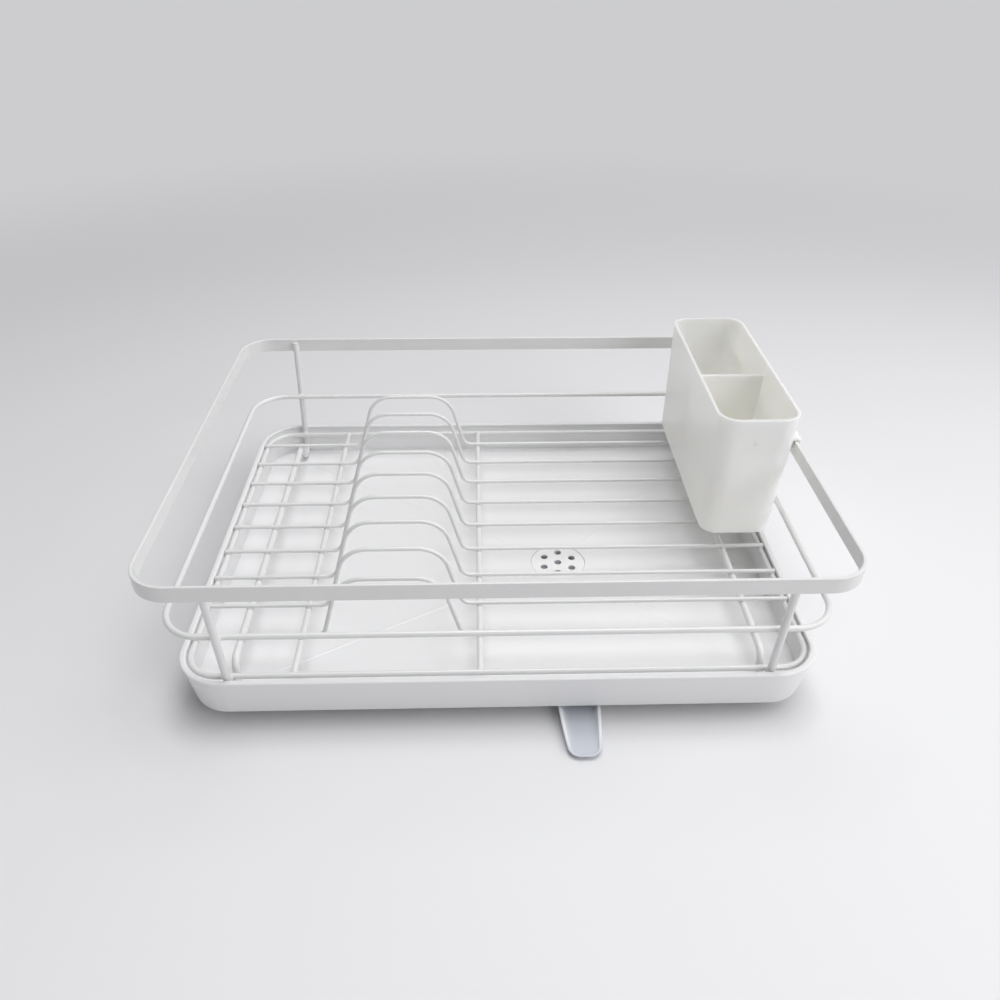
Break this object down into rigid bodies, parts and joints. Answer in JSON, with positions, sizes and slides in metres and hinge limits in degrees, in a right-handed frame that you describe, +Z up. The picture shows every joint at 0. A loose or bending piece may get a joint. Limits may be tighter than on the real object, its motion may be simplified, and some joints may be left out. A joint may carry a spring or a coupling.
{
  "type": "dish drying rack",
  "caption": "Coated wire dish rack with hooped plate slots in a drip tray, with a utensil bin hung on the rim and a swivelling drain spout.",
  "frame": {"origin": "on the counter, under the middle of the whole part's outline in plan, spout included", "axes": "+X along the rack towards the utensil bin, -Y to the front where the spout points, +Z up"},
  "size_m": [0.4314, 0.3609, 0.149],
  "materials": {
    "coated_wire": "white powder coat, satin",
    "tray_plastic": "moulded, semi-gloss",
    "bin_plastic": "moulded, glossy",
    "strainer_plastic": "moulded, semi-gloss",
    "frosted_plastic": "frosted, translucent",
    "pad_rubber": "soft, matte"
  },
  "bodies": {
    "tray": {"drip_tray": "tray_plastic", "drain_strainer": "strainer_plastic", "tray_foot_front_left": "pad_rubber", "tray_foot_front_right": "pad_rubber", "tray_foot_back_left": "pad_rubber", "tray_foot_back_right": "pad_rubber"},
    "basket": {"rim_band": "coated_wire", "mid_ring": "coated_wire", "base_ring": "coated_wire", "leg_wire_left": "coated_wire", "leg_wire_right": "coated_wire", "plate_wire_1": "coated_wire", "plate_wire_2": "coated_wire", "plate_wire_3": "coated_wire", "plate_wire_4": "coated_wire", "plate_wire_5": "coated_wire", "plate_wire_6": "coated_wire", "plate_wire_7": "coated_wire", "plate_wire_8": "coated_wire", "plate_wire_9": "coated_wire", "cross_wire_left": "coated_wire", "cross_wire_mid": "coated_wire"},
    "bin": {"utensil_holder": "bin_plastic"},
    "spout": {"drain_spout": "frosted_plastic"}
  },
  "joints": [
    {"name": "basket_lift", "type": "slide", "parent": "tray", "child": "basket", "axis": [0, 0, 1], "range_m": [0, 0.06]},
    {"name": "bin_lift", "type": "slide", "parent": "basket", "child": "bin", "axis": [0, 0, 1], "range_m": [0, 0.11]},
    {"name": "spout_swivel", "type": "hinge", "parent": "tray", "child": "spout", "pos_m": [0.0485, 0.001, 0.0074], "axis": [0, 0, 1], "continuous": true}
  ]
}
